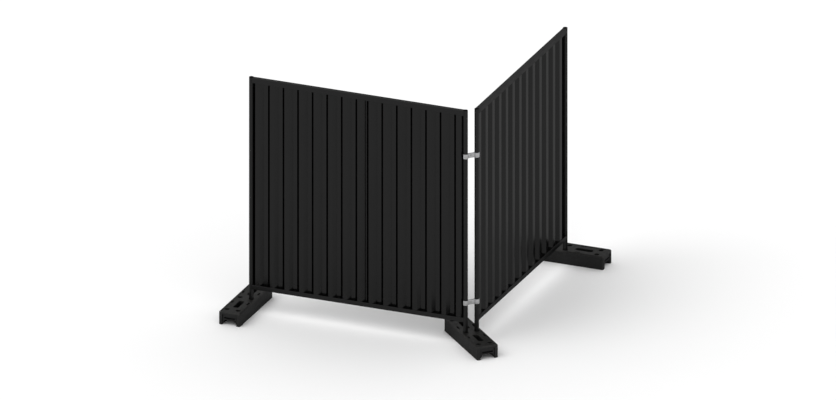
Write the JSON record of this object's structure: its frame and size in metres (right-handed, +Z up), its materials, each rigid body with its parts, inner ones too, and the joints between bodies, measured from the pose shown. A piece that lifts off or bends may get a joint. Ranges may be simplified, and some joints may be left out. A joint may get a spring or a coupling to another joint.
{
  "type": "steel hoarding fence corner",
  "caption": "Two framed trapezoidal sheet panels meeting at a right angle, standing in block feet and held together by bolted stile couplers.",
  "frame": {"origin": "middle of the corner foot's underside, on the ground below the middle between the two corner stiles", "axes": "+X along the left panel towards the corner, +Y along the right panel away from the corner, +Z up"},
  "size_m": [2.7508, 2.7508, 2.316],
  "materials": {
    "painted_frame": "satin black powder coat",
    "painted_sheet": "satin black coil coat",
    "stile_cap": "matte black plastic",
    "foot_rubber": "recycled black moulded plastic and rubber",
    "zinc_plate": "galvanised plate",
    "zinc_fixing": "zinc plated"
  },
  "bodies": {
    "root": {"left_outer_stile": "painted_frame", "left_corner_stile": "painted_frame", "left_top_rail": "painted_frame", "left_bottom_rail": "painted_frame", "left_outer_sheet": "painted_sheet", "left_corner_sheet": "painted_sheet", "left_outer_cap": "stile_cap", "left_corner_cap": "stile_cap", "right_outer_stile": "painted_frame", "right_corner_stile": "painted_frame", "right_top_rail": "painted_frame", "right_bottom_rail": "painted_frame", "right_outer_sheet": "painted_sheet", "right_corner_sheet": "painted_sheet", "right_outer_cap": "stile_cap", "right_corner_cap": "stile_cap", "left_foot": "foot_rubber", "corner_foot": "foot_rubber", "right_foot": "foot_rubber", "upper_front_jaw": "zinc_plate", "upper_back_jaw": "zinc_plate", "upper_bolt": "zinc_fixing", "upper_nut": "zinc_fixing", "lower_front_jaw": "zinc_plate", "lower_back_jaw": "zinc_plate", "lower_bolt": "zinc_fixing", "lower_nut": "zinc_fixing"}
  },
  "joints": []
}
